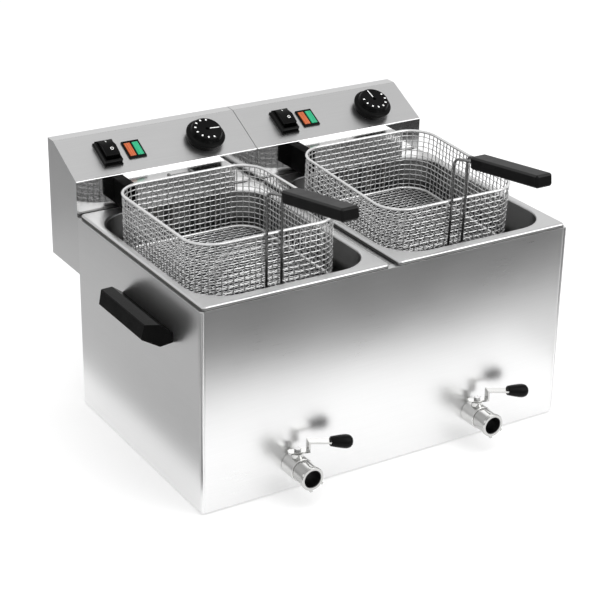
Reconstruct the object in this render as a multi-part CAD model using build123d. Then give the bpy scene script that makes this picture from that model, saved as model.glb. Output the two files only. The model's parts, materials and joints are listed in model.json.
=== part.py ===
from build123d import *
from math import atan2, ceil, cos, degrees, radians, sin, tan
import os

# Twin-tank countertop deep fryer. Millimetres, +X to the right, -Y to the front, +Z up.
# Pieces are drawn with Y counted as depth behind the casing's front face, and with Z counted from
# the bench. export_nodes() then moves them all so that the origin is at the centre of the footprint.

# ---- sheet metal and general clearances ------------------------------------------------------
sheet = 1.0                 # stainless sheet of casing, tanks, heads and hoods
cut_through = 4.0           # length of a cutter that passes through one sheet
slip = 0.3                  # gap between curved faces of pieces that move apart
shaft_fit = 0.05            # radial running clearance of a shaft
round_sides = 24            # flats that stand for a round on small turned and moulded pieces

# ---- casing ----------------------------------------------------------------------------------
casing_width = 660.0
casing_depth = 412.0
casing_height = 330.0
casing_lift = 3.0           # bench to the lower edge of the casing
casing_bend = 8.0           # outer radius of the two front corners
casing_fold = 12.0          # inward fold along the top edge
pan_recess = 5.0            # base pan above the casing's lower edge
pan_wall = 15.0             # upturned edge of the base pan
foot_radius = 14.0
foot_sides = 12
foot_inset = 55.0           # foot centre from the casing's sides, front and back

# ---- tanks -----------------------------------------------------------------------------------
rim_height = 7.0            # rolled rim above the casing's top fold
rim_roll = 2.5              # bevel of the rim's outer edge
rim_corner = 6.0
rim_corner_flats = 3
rim_gap = 17.0              # between the two rims
rim_side_inset = 3.5        # rim to the casing's side
rim_front_inset = 0.5
rim_back_gap = 3.5          # rim to the face of the control head
mouth_side = 18.0           # flange width beside the mouth
mouth_front = 38.0          # flange width in front of the mouth
mouth_back = 22.0
mouth_corner = 60.0
tank_depth = 245.0
rail_width = 40.0
rail_wall = 15.0

# ---- drains ----------------------------------------------------------------------------------
drain_height = 49.0         # drain centre line above the bench
drain_offset = -8.0         # drain centre line from the tank's centre
drain_inlet = 78.0          # depth of the sump's middle
pipe_radius = 13.5
pipe_wall = 2.0
pipe_hole_gap = 1.0         # round the pipe where it passes the casing
sump_width = 44.0           # inside
valve_radius = 19.0
valve_length = 31.0
valve_neck_radius = 9.0
valve_neck_height = 5.0
plug_radius = 13.0
plug_height = 24.0
stem_depth = 16.0           # stem axis in front of the casing
stem_radius = 4.0
stem_square = 5.4           # square end that carries the lever
port_width = 12.0
port_height = 18.0
screw_head_radius = 5.5     # screw that holds the lever on its stem
screw_head_height = 4.0
nozzle_radius = 17.5
nozzle_bore = 13.5
nozzle_length = 30.0
nozzle_ring_radius = 19.0
nozzle_ring_length = 5.0
lug_size = 4.0
lug_reach = 3.0
lug_angles = (-35, -95, 145)

# ---- drain levers ----------------------------------------------------------------------------
lever_angle = -15.0         # degrees about +Z from +X, valve shut
lever_width = 14.0
lever_thickness = 3.0
lever_tail = 15.0           # behind the stem axis
lever_arm = 17.0            # stem axis to the riser
lever_riser = 15.0
lever_reach = 34.0          # riser to the grip
lever_droop = 8.0           # degrees
lever_corner = 3.0          # cut corners at the tail
lever_grip_length = 36.0
lever_grip_radius = 11.0
lever_grip_neck = 7.5
lever_grip_waist = 26.0     # widest place from the neck
lever_grip_tip = 5.0

# ---- side handles ----------------------------------------------------------------------------
handle_start = 85.0         # depth of the front end at the casing
handle_length = 168.0
handle_drop = 71.0          # casing's top edge to the handle's middle
handle_reach = 46.0
handle_top = 22.0           # middle to the top face
handle_under = 16.0         # middle to the lowest edge
handle_top_width = 21.0
handle_top_fall = 2.0       # top face's fall towards the casing
handle_root_high = 4.5      # foot on the casing, above and below the middle
handle_root_low = 11.0
handle_nose_low = 1.5       # outer edge below the middle
handle_heel = 19.0          # lowest edge from the casing
handle_edge = 0.8           # bevel of the long edges
handle_end_slope = 12.0     # length lost at each end towards the outside
handle_wall = 5.0
handle_land = 16.0          # solid ends beside the finger pocket

# ---- control heads ---------------------------------------------------------------------------
head_gap = 1.0              # between the two heads
head_overlap = 98.0         # casing's top edge to the head's lower edge
head_front_rise = 60.0      # casing's top edge to the slope's lower edge
head_slope_rise = 43.0
head_slope_run = 84.0       # depth of the slope
head_top_run = 21.0         # depth of the flat top
switch_x = 75.0             # along the slope from the head's left end
switch_s = 45.0             # up the slope from its lower edge
switch_width = 32.0
switch_length = 54.0
switch_flange = 3.0
switch_body_height = 11.0
switch_wall = 3.0
switch_shell = 1.2          # housing's wall and floor below the sheet
switch_under = 14.0         # housing below the sheet
rocker_axis = 4.0           # tilt axis above the sheet
rocker_width = 25.0
rocker_length = 41.0
rocker_rise = 9.0           # rocker's ridge above the switch body
rocker_edge = 4.0           # rocker's ends above the switch body
rocker_nose = 1.5           # rounding of the rocker's ends, along
rocker_nose_rise = 1.0
rocker_play = 0.5           # rocker to the housing's sides
rocker_leg = 3.0            # leg on each side of the notch
rocker_tilt = 7.0           # degrees, each way from level
fulcrum_half = 3.0          # half width of the rib that the rocker tilts on
notch_half = 5.0
lamp_x = 122.0
lamp_s = 46.0
lamp_width = 31.0
lamp_length = 38.0
lamp_frame = 3.0
lamp_height = 2.5
lamp_dome = 1.0             # lens above its frame
lamp_under = 10.0           # body below the sheet
lamp_ledge = 2.5            # frame past the body
lens_depth = 6.0            # lens below the sheet
lens_bevel = 0.8
knob_x = 250.0
knob_s = 42.0
knob_base_radius = 29.0
knob_base_height = 8.0
knob_skirt_radius = 33.0
knob_skirt_height = 6.0
knob_top_radius = 25.0
knob_height = 16.0
knob_gap = 0.6              # knob above its base ring
knob_bore_depth = 11.0
dial_shaft_radius = 3.0
dial_flat = 0.8             # depth and length of the flat on the shaft's end
dial_flat_length = 10.0
thermostat_size = 42.0
thermostat_depth = 24.0

# ---- element hoods and elements --------------------------------------------------------------
block_x = 66.0              # black end block, along the head from its left end
block_width = 19.0
block_bevel = 3.0
hood_length = 178.0
hood_reach = 45.0           # forward of the head's face
hood_drop = 5.0             # hood's top below the slope's lower edge
hood_height = 42.0
hood_lip = 4.0              # upstand along the hood's front edge
hood_lip_wall = 2.0
element_radius = 4.0
element_rise = 45.0         # tank floor to the element's bottom run
element_front = 95.0
element_bend = 12.0
element_bend_step = 90.0    # degrees for each flat of a bend
element_clear = 1.5         # rising legs to the inside of the hood
element_entry = 16.0        # hood's top to the legs' entry into the head
element_legs = (-56.0, -24.0, 24.0, 56.0)   # from the hood's middle
entry_slot = (132.0, 12.0)
terminal_size = (150.0, 22.0, 24.0)
gland_radius = 9.0
gland_reach = 12.0
gland_bore = 4.5
gland_hole = 6.0            # radius of the hole in the head behind the gland
gland_rise = 27.0           # head's lower edge to the cable gland
gland_inset = 40.0          # from the head's left end

# ---- baskets (hung up to drain) --------------------------------------------------------------
basket_side_gap = 15.5      # rim wire's centre line to the mouth's side
basket_front_gap = 38.5     # rim wire's centre line to the mouth's front edge
basket_gap = 11.0           # rim wire's centre line to the hood
basket_height = 107.0
basket_corner = 45.0
rim_wire = 2.5              # radius
frame_wire = 2.2            # radius of the handle and hook wires
wire_sides = 6              # flats round a wire
rim_flats = 4
mesh_wire = 2.0             # side of the square mesh wires
mesh_pitch = 20.0
corner_flats = 3            # short flats in a level wire's corner
stalk_spread = 26.0         # between the two handle wires
stalk_rise = 68.0           # above the rim wire
stalk_bend = 12.0
stalk_bend_step = 45.0      # degrees for each flat of a bend
stalk_neck = 15.0           # between the handle wires inside the grip
weld_gap = 0.02
hook_width = 40.0
grip_length = 160.0
grip_width = 30.0
grip_height = 20.0
grip_bevel = 3.0
grip_tilt_left = 9.5        # degrees, as each basket hangs on its hook
grip_tilt_right = 5.0
grip_socket = 40.0          # wire held inside the grip
grip_socket_end = 1.0       # socket past the wire's end
grip_gap_left = 45.6        # handle wires' top to the grip
grip_gap_right = 44.0

# ---- derived places --------------------------------------------------------------------------
casing_top = casing_lift + casing_height
pan_bottom = casing_lift + pan_recess
rim_top = casing_top + rim_height
rim_width = casing_width / 2 - rim_gap / 2 - rim_side_inset
rim_length = casing_depth - rim_front_inset - rim_back_gap
mouth_width = rim_width - 2 * mouth_side
mouth_length = rim_length - mouth_front - mouth_back
mouth_middle = rim_front_inset + mouth_front + mouth_length / 2
tank_offset = (rim_gap + rim_width) / 2
tank_floor = rim_top - tank_depth
element_height = tank_floor + element_rise
handle_height = casing_top - handle_drop
head_width = (casing_width - head_gap) / 2
head_back = casing_depth + head_slope_run + head_top_run
head_bottom = casing_top - head_overlap
head_front_top = casing_top + head_front_rise
head_top = head_front_top + head_slope_rise
gland_height = head_bottom + gland_rise
slope_angle = degrees(atan2(head_slope_rise, head_slope_run))
hood_top = head_front_top - hood_drop
hood_front = casing_depth - hood_reach
hood_start = block_x + block_width
element_back = hood_front + sheet + element_clear + element_radius
entry_height = hood_top - element_entry
basket_back = hood_front - basket_gap
basket_front = rim_front_inset + mouth_front + basket_front_gap
basket_length = basket_back - basket_front
basket_width = mouth_width - 2 * basket_side_gap
basket_rim = hood_top + hood_lip + slip + frame_wire
basket_floor = basket_rim - basket_height
corner_slack = (basket_corner + rim_wire) * (1 - cos(radians(45 / corner_flats)))
ring_grow = rim_wire - mesh_wire + frame_wire
stalk_depth = basket_front - rim_wire - weld_gap - frame_wire
stalk_top = basket_rim + stalk_rise
grip_end = grip_gap_left + grip_length
grip_front = (stalk_depth - grip_end * cos(radians(grip_tilt_left))
              - grip_height / 2 * sin(radians(grip_tilt_left)))
gland_back = head_back + gland_reach
origin_depth = (grip_front + gland_back) / 2


def slab(width, length, low, high, corner=0.0, middle=(0.0, 0.0)):
    """Upright block between two heights, with rounded vertical edges."""
    outline = RectangleRounded(width, length, corner) if corner else Rectangle(width, length)
    return Pos(middle[0], middle[1], low) * extrude(outline, high - low)


def rod(radius, start, end):
    """Round bar between two points."""
    axis = Vector(*end) - Vector(*start)
    return extrude(Plane(origin=start, z_dir=axis) * Circle(radius), axis.length)


def turned(radius, length, top=None):
    """Round piece along Z from the origin, in flats, straight or tapering to a smaller radius."""
    angle = degrees(atan2(radius - top, length)) if top else 0
    return extrude(RegularPolygon(radius, round_sides), length, taper=angle)


def bore(radius, length):
    """Cutter for a bore along Z from the origin, in flats that lie round its radius."""
    return extrude(RegularPolygon(radius, round_sides, major_radius=False), length)


def bends(points, radius, step):
    """Points of a bar's centre line, with each corner turned in flats of the bend's radius."""
    route = [Vector(*points[0])]
    for before, corner, after in zip(points, points[1:], points[2:]):
        corner = Vector(*corner)
        back = (Vector(*before) - corner).normalized()
        ahead = (Vector(*after) - corner).normalized()
        half = radians(back.get_angle(ahead)) / 2
        centre = corner + (back + ahead).normalized() * (radius / sin(half))
        start = corner + back * (radius / tan(half))
        end = corner + ahead * (radius / tan(half))
        axis = (start - centre).cross(end - centre)
        turn = 180 - 2 * degrees(half)
        flats = ceil(turn / step)
        spoke = (start - centre) * (1 / cos(radians(turn / flats / 2)))
        for flat in range(flats):
            route.append(centre + spoke.rotate(Axis((0, 0, 0), axis), turn * (flat + 0.5) / flats))
    return route + [Vector(*points[-1])]


def bar(points, radius, sides, closed=False):
    """Bent bar along straight runs, one solid for each, mitred where they meet."""
    points = [Vector(*point) for point in points]
    ends = points[1:] + points[:1] if closed else points[1:]
    ways = [(end - start).normalized() for start, end in zip(points, ends)]
    solids = []
    for index, (start, end, way) in enumerate(zip(points, ends, ways)):
        meets_last, meets_next = closed or index > 0, closed or index < len(ways) - 1
        overlap = 2 * radius
        side = Vector(1, 0, 0) if abs(way.X) < 0.7 else Vector(0, 1, 0)
        section = Plane(origin=start - way * overlap, x_dir=side - way * side.dot(way), z_dir=way)
        run = extrude(section * RegularPolygon(radius, sides), (end - start).length + 2 * overlap)
        before, after = (ways[index - 1], ways[(index + 1) % len(ways)])
        run = split(run, Plane(origin=start, z_dir=before + way if meets_last else way), keep=Keep.TOP)
        run = split(run, Plane(origin=end, z_dir=way + after if meets_next else way), keep=Keep.BOTTOM)
        solids.append(run)
    return solids


def group(solids):
    """Separate solids that share one node."""
    return Compound([solid for item in solids for solid in item.solids()])


def slope_frame(head_left):
    """Plane on a head's sloped face: x along the head, y up the slope, z outwards."""
    return Plane(
        origin=(head_left, casing_depth, head_front_top),
        x_dir=(1, 0, 0),
        z_dir=(0, -head_slope_rise, head_slope_run),
    )


# ---- casing ----------------------------------------------------------------------------------
def casing_shape(inset, low, high):
    """Block inside the bent wrap, open towards the back."""
    width = casing_width - 2 * inset
    outline = Pos(0, inset) * Rectangle(width, casing_depth - inset, align=(Align.CENTER, Align.MIN))
    radius = max(casing_bend - inset, sheet / 2)
    outline = fillet(outline.vertices().sort_by(Axis.Y)[:2], radius)
    return Pos(0, 0, low) * extrude(outline, high - low)


def casing_wrap():
    wrap = casing_shape(0, casing_lift, casing_top)
    wrap -= casing_shape(sheet, casing_lift, casing_top - sheet)
    wrap -= casing_shape(casing_fold, casing_top - sheet, casing_top)
    for sign in (-1, 1):
        drain = (sign * tank_offset + drain_offset, 0, drain_height)
        wrap -= rod(pipe_radius + pipe_hole_gap, drain, (drain[0], 2 * sheet, drain_height))
    return wrap


def casing_back():
    """Back panel, folded forward along its top edge to carry the rims."""
    middle = (0, casing_depth - sheet / 2)
    panel = slab(casing_width - 2 * sheet, sheet, casing_lift, casing_top - sheet, 0, middle)
    middle = (0, casing_depth - casing_fold / 2)
    fold_width = casing_width - 2 * casing_fold
    return panel + slab(fold_width, casing_fold, casing_top - sheet, casing_top, 0, middle)


def casing_base():
    length = casing_depth - 2 * sheet
    width = casing_width - 2 * sheet
    middle = (0, casing_depth / 2)
    corner = casing_bend - sheet
    pan = slab(width, length, pan_bottom, pan_bottom + sheet, corner, middle)
    for side in (-1, 1):
        wall_x = side * (width - sheet) / 2
        pan += slab(sheet, length - 2 * corner, pan_bottom, pan_bottom + pan_wall, 0, (wall_x, middle[1]))
        wall_depth = middle[1] + side * (length - sheet) / 2
        pan += slab(width - 2 * corner, sheet, pan_bottom, pan_bottom + pan_wall, 0, (0, wall_depth))
    return pan


def rubber_feet():
    feet = []
    for x in (-1, 1):
        for depth in (foot_inset, casing_depth - foot_inset):
            place = Pos(x * (casing_width / 2 - foot_inset), depth)
            feet.append(place * extrude(RegularPolygon(foot_radius, foot_sides), pan_bottom))
    return group(feet)


def centre_rail():
    """Channel between the tanks that carries their inner rims."""
    length = casing_depth - 2 * sheet - slip
    middle = (0, sheet + length / 2)
    rail = slab(rail_width, length, casing_top - rail_wall, casing_top - sheet, 0, middle)
    rail -= slab(rail_width - 2 * sheet, length, casing_top - rail_wall, casing_top - 2 * sheet, 0, middle)
    strip = slab(rail_width - 2 * sheet, casing_depth - 2 * casing_fold, casing_top - sheet, casing_top,
                 0, (0, casing_depth / 2))
    return rail + strip


# ---- side handles ----------------------------------------------------------------------------
def handle_section():
    """Hexagonal section in a plane across the handle, wall side at x = 0."""
    return Polyline(
        (0, -handle_root_low), (0, handle_root_high),
        (handle_reach - handle_top_width - handle_wall, handle_top - handle_top_fall),
        (handle_reach - handle_wall, handle_top), (handle_reach, -handle_nose_low),
        (handle_heel, -handle_under), close=True,
    )


def side_handle(sign):
    """Moulded grip with a finger pocket from below and sloped ends."""
    middle = handle_start + handle_length / 2
    across = Plane(origin=(sign * casing_width / 2, middle, handle_height), x_dir=(sign, 0, 0),
                   z_dir=(0, -sign, 0))
    body = extrude(across * make_face(handle_section()), handle_length / 2, both=True)
    for end in (-1, 1):
        outline = Polyline(
            (0, end * handle_length / 2), (handle_reach, end * (handle_length / 2 - handle_end_slope)),
            (handle_reach, end * handle_length), (0, end * handle_length), close=True,
        )
        cutter = extrude(make_face(outline), 2 * handle_top, both=True)
        if sign < 0:
            cutter = mirror(cutter, Plane.YZ)
        body -= Pos(sign * casing_width / 2, middle, handle_height) * cutter
    body = chamfer(body.edges().filter_by(Axis.Y), handle_edge)
    pocket_width = handle_reach - 3 * handle_wall
    pocket_length = handle_length - 2 * handle_land - handle_end_slope
    pocket = Box(pocket_width, pocket_length, handle_under + handle_top / 2,
                 align=(Align.CENTER, Align.CENTER, Align.MIN))
    pocket_x = casing_width / 2 + 2 * handle_wall + pocket_width / 2
    return body - Pos(sign * pocket_x, middle, handle_height - handle_under) * pocket


# ---- tanks -----------------------------------------------------------------------------------
def tub(x, grow):
    """Tub hanging from the mouth's outline, grown by the sheet for its outside."""
    outline = (mouth_width + 2 * grow, mouth_length + 2 * grow)
    return slab(*outline, tank_floor - grow, rim_top, mouth_corner + grow, (x, mouth_middle))


def rim_block(x, inset, high):
    """Block on the casing's top within the rim, each corner turned in a few flats."""
    half_width, half_length = rim_width / 2 - rim_corner, rim_length / 2 - rim_corner
    corner = rim_corner - inset
    turns = [radians(90 * step / rim_corner_flats) for step in range(rim_corner_flats + 1)]
    quarter = [(half_width + corner * cos(a), half_length + corner * sin(a)) for a in turns]
    outline = quarter + [(-a, b) for a, b in reversed(quarter)]
    outline += [(-a, -b) for a, b in quarter] + [(a, -b) for a, b in reversed(quarter)]
    place = Pos(x, rim_front_inset + rim_length / 2, casing_top)
    return place * extrude(make_face(Polyline(*outline, close=True)), high - casing_top)


def tank(x):
    """Drawn tank: rolled rim, flange and tub with a hole in its floor for the sump."""
    rim = rim_block(x, 0, rim_top)
    rim = chamfer(rim.faces().sort_by(Axis.Z)[-1].edges(), rim_roll)
    rim -= rim_block(x, sheet, rim_top - rim_roll - sheet)
    centre = (x + drain_offset, drain_inlet)
    hole = slab(sump_width, sump_width, tank_floor - sheet, tank_floor, 0, centre)
    return rim + tub(x, sheet) - tub(x, 0) - hole


def drain_pipe(x):
    """Square sump under the tank's floor, with a pipe out to the valve in front of the casing."""
    centre = (x + drain_offset, drain_inlet)
    floor = drain_height - pipe_radius - sheet
    outer = sump_width + 2 * sheet
    sump = slab(outer, outer, floor, tank_floor - sheet, 0, centre)
    forward = Pos(centre[0], drain_inlet, drain_height) * Rot(90, 0, 0)
    sump += forward * turned(pipe_radius, drain_inlet)
    sump -= slab(sump_width, sump_width, floor + sheet, tank_floor - sheet, 0, centre)
    return sump - forward * turned(pipe_radius - pipe_wall, drain_inlet)


# ---- drain valves ----------------------------------------------------------------------------
def valve_point(x, ahead=0.0, up=0.0):
    """Point on a drain's centre line, ahead of the casing's face."""
    return (x + drain_offset, -ahead, drain_height + up)


def valve_body(x):
    """Barrel with a slot-shaped way through and an upright chamber for the plug."""
    body = Pos(*valve_point(x)) * Rot(90, 0, 0) * turned(valve_radius, valve_length)
    stem = Pos(*valve_point(x, stem_depth))
    neck_top = valve_radius + valve_neck_height
    body += stem * extrude(RegularPolygon(valve_neck_radius, 6), neck_top)
    body -= Pos(*valve_point(x, valve_length / 2)) * Box(port_width, valve_length, port_height)
    body -= stem * Pos(0, 0, -plug_height / 2 - slip) * bore(plug_radius + shaft_fit, plug_height + 2 * slip)
    return body - stem * bore(stem_radius + shaft_fit, neck_top)


def on_stem(x, solid):
    """Places what turns with a drain lever: stem axis along Z, lever along +X."""
    return Pos(*valve_point(x, stem_depth)) * Rot(0, 0, lever_angle) * solid


def valve_plug(x):
    """Plug and stem in one, with a slot through the plug that lies across the pipe while shut."""
    plug = Pos(0, 0, -plug_height / 2) * turned(plug_radius, plug_height)
    plug -= Box(2 * plug_radius, port_width, port_height)
    shoulder = lever_height() - slip / 2
    plug += rod(stem_radius, (0, 0, plug_height / 2), (0, 0, shoulder))
    square = Rectangle(stem_square, stem_square)
    return on_stem(x, plug + Pos(0, 0, shoulder) * extrude(square, lever_thickness + slip / 2))


def lever_screw(x):
    head = extrude(RegularPolygon(screw_head_radius, 6), screw_head_height)
    return on_stem(x, Pos(0, 0, lever_height() + lever_thickness) * head)


def lever_height():
    """Underside of the lever above the drain's centre line."""
    return valve_radius + valve_neck_height + slip


def lever_tip():
    """End of the lever's strip inside the grip, along and above the stem."""
    run = lever_reach + lever_grip_length / 2
    drop = run * tan(radians(lever_droop))
    return (lever_arm + run, lever_height() + lever_riser - drop)


def drain_lever(x):
    """Strip bent up from the stem to the grip."""
    base = lever_height() + lever_thickness / 2
    tip = lever_tip()
    path = Polyline((-lever_tail, base), (lever_arm, base), (lever_arm, base + lever_riser),
                    (tip[0], tip[1] + lever_thickness / 2))
    strip = extrude(Plane.XZ * trace(path, lever_thickness), lever_width / 2, both=True)
    strip = chamfer(strip.edges().filter_by(Axis.Z).group_by(Axis.X)[0], lever_corner)
    hole = stem_square + 2 * shaft_fit
    strip -= Pos(0, 0, base) * Box(hole, hole, 2 * lever_thickness)
    return on_stem(x, strip)


def lever_grip(x):
    """Round-ended grip with a slot for the strip's end."""
    waist = Pos(lever_grip_waist, 0, 0)
    nose = lever_grip_length - lever_grip_waist
    grip = waist * Rot(0, -90, 0) * turned(lever_grip_radius, lever_grip_waist, lever_grip_neck)
    grip += waist * Rot(0, 90, 0) * turned(lever_grip_radius, nose, lever_grip_tip)
    slot = Box(lever_grip_length / 2 + slip, lever_width + slip, lever_thickness + slip,
               align=(Align.MIN, Align.CENTER, Align.CENTER))
    base = lever_height() + lever_thickness / 2 + lever_riser
    start = (lever_arm + lever_reach, 0, base - lever_reach * tan(radians(lever_droop)))
    return on_stem(x, Pos(*start) * Rot(0, lever_droop, 0) * (grip - slot))


def outlet_nozzle(x):
    """Outlet with a bayonet ring for a drain extension."""
    start, end = valve_length, valve_length + nozzle_length
    forward = Rot(90, 0, 0)
    nozzle = Pos(*valve_point(x, start)) * forward * turned(nozzle_radius, nozzle_length)
    ring = forward * turned(nozzle_ring_radius, nozzle_ring_length)
    nozzle += Pos(*valve_point(x, end - nozzle_ring_length)) * ring
    for angle in lug_angles:
        lug = Box(nozzle_ring_radius + lug_reach, nozzle_ring_length, lug_size,
                  align=(Align.MIN, Align.CENTER, Align.CENTER))
        nozzle += Pos(*valve_point(x, end - nozzle_ring_length / 2)) * Rot(0, -angle, 0) * lug
    return nozzle - rod(nozzle_bore, valve_point(x, start), valve_point(x, end))


# ---- control heads ---------------------------------------------------------------------------
def head_profile(inset):
    """Head's section in depth and height, moved in by the sheet."""
    rise = inset * tan(radians(slope_angle / 2))
    fall = inset * tan(radians((90 - slope_angle) / 2))
    points = [
        (casing_depth + inset, head_bottom), (casing_depth + inset, head_front_top - fall),
        (casing_depth + head_slope_run + rise, head_top - inset),
        (head_back - inset, head_top - inset), (head_back - inset, head_bottom),
    ]
    return make_face(Polyline(*points, close=True))


def head_shell(left):
    """Bent housing, open at the bottom, with the cut-outs for its fittings."""
    side = Plane(origin=(left, 0, 0), x_dir=(0, 1, 0), z_dir=(1, 0, 0))
    shell = extrude(side * head_profile(0), head_width)
    shell -= Pos(sheet) * extrude(side * head_profile(sheet), head_width - 2 * sheet)
    slope = slope_frame(left)
    switch = (switch_housing(rocker_width) + 2 * slip, switch_housing(rocker_length) + 2 * slip)
    shell -= slope * Pos(switch_x, switch_s, 0) * Box(*switch, cut_through)
    lamp = (lamp_width - 2 * lamp_ledge + 2 * slip, lamp_length - 2 * lamp_ledge + 2 * slip)
    shell -= slope * Pos(lamp_x, lamp_s, 0) * Box(*lamp, cut_through)
    shell -= slope * Pos(knob_x, knob_s, 0) * Cylinder(dial_shaft_radius + slip, cut_through)
    entry = Box(entry_slot[0], cut_through, entry_slot[1])
    shell -= Pos(left + hood_start + hood_length / 2, casing_depth, entry_height) * entry
    gland = (left + gland_inset, head_back - 2 * sheet, gland_height)
    return shell - rod(gland_hole, gland, (gland[0], head_back, gland_height))


def head_bottom_cover(left):
    """Plate that closes the head from below."""
    middle = (left + head_width / 2, (casing_depth + head_back) / 2)
    length = head_back - casing_depth - 2 * sheet
    return slab(head_width - 2 * sheet, length, head_bottom, head_bottom + sheet, 0, middle)


def switch_housing(across):
    """Housing's outer size round one size of the rocker."""
    return across + 2 * (slip + switch_shell)


def switch_bezel(left):
    """Switch housing: flange, raised body, and a rib in its well that the rocker tilts on."""
    body = extrude(Rectangle(switch_width, switch_length), switch_flange)
    collar = Rectangle(rocker_width + 2 * switch_wall, rocker_length + 2 * switch_wall)
    collar = extrude(collar, switch_body_height)
    body += chamfer(collar.faces().sort_by(Axis.Z)[-1].edges(), switch_wall / 3)
    housing = Rectangle(switch_housing(rocker_width), switch_housing(rocker_length))
    body += Pos(0, 0, -switch_under) * extrude(housing, switch_under)
    floor = switch_shell - switch_under
    well = Rectangle(rocker_width + 2 * slip, rocker_length + 2 * slip)
    body -= Pos(0, 0, floor) * extrude(well, 2 * switch_under)
    rib = Polyline((-fulcrum_half, floor), (fulcrum_half, floor), (0, rocker_axis), close=True)
    body += extrude(Plane.YZ * make_face(rib), rocker_width / 2, both=True)
    return slope_frame(left) * Pos(switch_x, switch_s, 0) * body


def rocker(left):
    """Two-faced rocker with a notch over the rib, lower half pushed out."""
    low = -switch_under / 2 - rocker_axis
    peak = switch_body_height + rocker_rise - rocker_axis
    edge = switch_body_height + rocker_edge - rocker_axis
    half = rocker_length / 2 - rocker_nose
    nose = (half - rocker_nose, edge + rocker_nose_rise)
    leg = notch_half + rocker_leg
    section = Polyline(
        (-half, edge), (-nose[0], nose[1]), (0, peak), nose, (half, edge), (leg, low),
        (notch_half, low), (0, slip), (-notch_half, low), (-leg, low), close=True,
    )
    body = extrude(Plane.YZ * make_face(section), rocker_width / 2 - rocker_play, both=True)
    return slope_frame(left) * Pos(switch_x, switch_s, rocker_axis) * Rot(-rocker_tilt, 0, 0) * body


def lamp_bezel(left):
    """Double lamp's frame, with a pocket for each lens."""
    frame = extrude(Rectangle(lamp_width, lamp_length), lamp_height)
    body = Rectangle(lamp_width - 2 * lamp_ledge, lamp_length - 2 * lamp_ledge)
    frame += Pos(0, 0, -lamp_under) * extrude(body, lamp_under)
    for side in (-1, 1):
        frame -= lamp_window(side, slip)
    return slope_frame(left) * Pos(lamp_x, lamp_s, 0) * frame


def lamp_window(side, grow):
    """Block of one lens, grown by a gap for its pocket."""
    lens_width = (lamp_width - 3 * lamp_frame) / 2
    window = Rectangle(lens_width + 2 * grow, lamp_length - 3 * lamp_frame + 2 * grow)
    place = Pos(side * (lens_width + lamp_frame) / 2, 0, -lens_depth - grow)
    return place * extrude(window, lens_depth + lamp_height + lamp_dome + grow)


def lamp_lens(left, side):
    lens = lamp_window(side, 0)
    lens = chamfer(lens.faces().sort_by(Axis.Z)[-1].edges(), lens_bevel)
    return slope_frame(left) * Pos(lamp_x, lamp_s, 0) * lens


def knob_base(left):
    ring = turned(knob_base_radius, knob_base_height) - bore(dial_shaft_radius + slip, knob_base_height)
    return slope_frame(left) * Pos(knob_x, knob_s, 0) * ring


def knob(left):
    """Dial knob: wide skirt, coned side, dished top and a socket for the shaft."""
    low = knob_base_height + knob_gap
    body = Pos(0, 0, low) * turned(knob_skirt_radius, knob_skirt_height)
    cone = turned(knob_skirt_radius, knob_height - knob_skirt_height, knob_top_radius)
    body += Pos(0, 0, low + knob_skirt_height) * cone
    body -= Pos(0, 0, low) * bore(dial_shaft_radius + shaft_fit, knob_bore_depth)
    return slope_frame(left) * Pos(knob_x, knob_s, 0) * body


def dial_shaft(left):
    low = -sheet - thermostat_depth / 2
    high = knob_base_height + knob_gap + knob_bore_depth - slip
    shaft = Pos(0, 0, low) * extrude(Circle(dial_shaft_radius), high - low)
    flat = Box(4 * dial_shaft_radius, 2 * dial_shaft_radius, 2 * dial_flat_length)
    shaft -= Pos(0, 2 * dial_shaft_radius - dial_flat, high) * flat
    return slope_frame(left) * Pos(knob_x, knob_s, 0) * shaft


def thermostat(left):
    """Thermostat against the inside of the slope, bored for the dial shaft."""
    body = extrude(Rectangle(thermostat_size, thermostat_size), thermostat_depth)
    body -= bore(dial_shaft_radius + shaft_fit, thermostat_depth)
    return slope_frame(left) * Pos(knob_x, knob_s, -sheet - thermostat_depth) * body


def element_block(left):
    """Black end block beside the hood."""
    block = Box(block_width, hood_reach, hood_height, align=(Align.MIN, Align.MIN, Align.MAX))
    front_edge = block.edges().filter_by(Axis.X).sort_by(lambda edge: edge.center().Z - edge.center().Y)[-1]
    block = chamfer(front_edge, block_bevel)
    return Pos(left + block_x, hood_front, hood_top) * block


def element_hood(left):
    """Folded cover over the element's rising legs, with a hanging lip along its front."""
    hood = Box(hood_length, hood_reach, hood_height, align=(Align.MIN, Align.MIN, Align.MAX))
    hood -= Pos(sheet, sheet, -sheet) * Box(hood_length - 2 * sheet, hood_reach - sheet, hood_height,
                                            align=(Align.MIN, Align.MIN, Align.MAX))
    hood += Box(hood_length, hood_lip_wall, hood_lip, align=(Align.MIN, Align.MIN, Align.MIN))
    return Pos(left + hood_start, hood_front, hood_top) * hood


def heating_element(left):
    """Two hairpin loops that rise behind the basket, through the hood and into the head."""
    middle = left + hood_start + hood_length / 2
    solids = []
    for first, second in (element_legs[:2], element_legs[2:]):
        route = [(middle + first, depth, height) for depth, height in element_route()]
        route += [(middle + second, depth, height) for depth, height in reversed(element_route())]
        solids += bar(bends(route, element_bend, element_bend_step), element_radius, wire_sides)
    return group(solids)


def element_route():
    """Depth and height of a heating leg's corners, from the terminal block to the tank's front."""
    return ((casing_depth + sheet, entry_height), (element_back, entry_height),
            (element_back, element_height), (element_front, element_height))


def terminal_block(left):
    """Block inside the head that the element's legs end in."""
    block = Box(*terminal_size, align=(Align.CENTER, Align.MIN, Align.CENTER))
    return Pos(left + hood_start + hood_length / 2, casing_depth + sheet, entry_height) * block


def cable_gland(left):
    """Supply cable gland on the head's back."""
    back = Plane(origin=(left + gland_inset, head_back, gland_height), x_dir=(1, 0, 0), z_dir=(0, 1, 0))
    return extrude(back * (RegularPolygon(gland_radius, 6) - Circle(gland_bore)), gland_reach)


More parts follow.
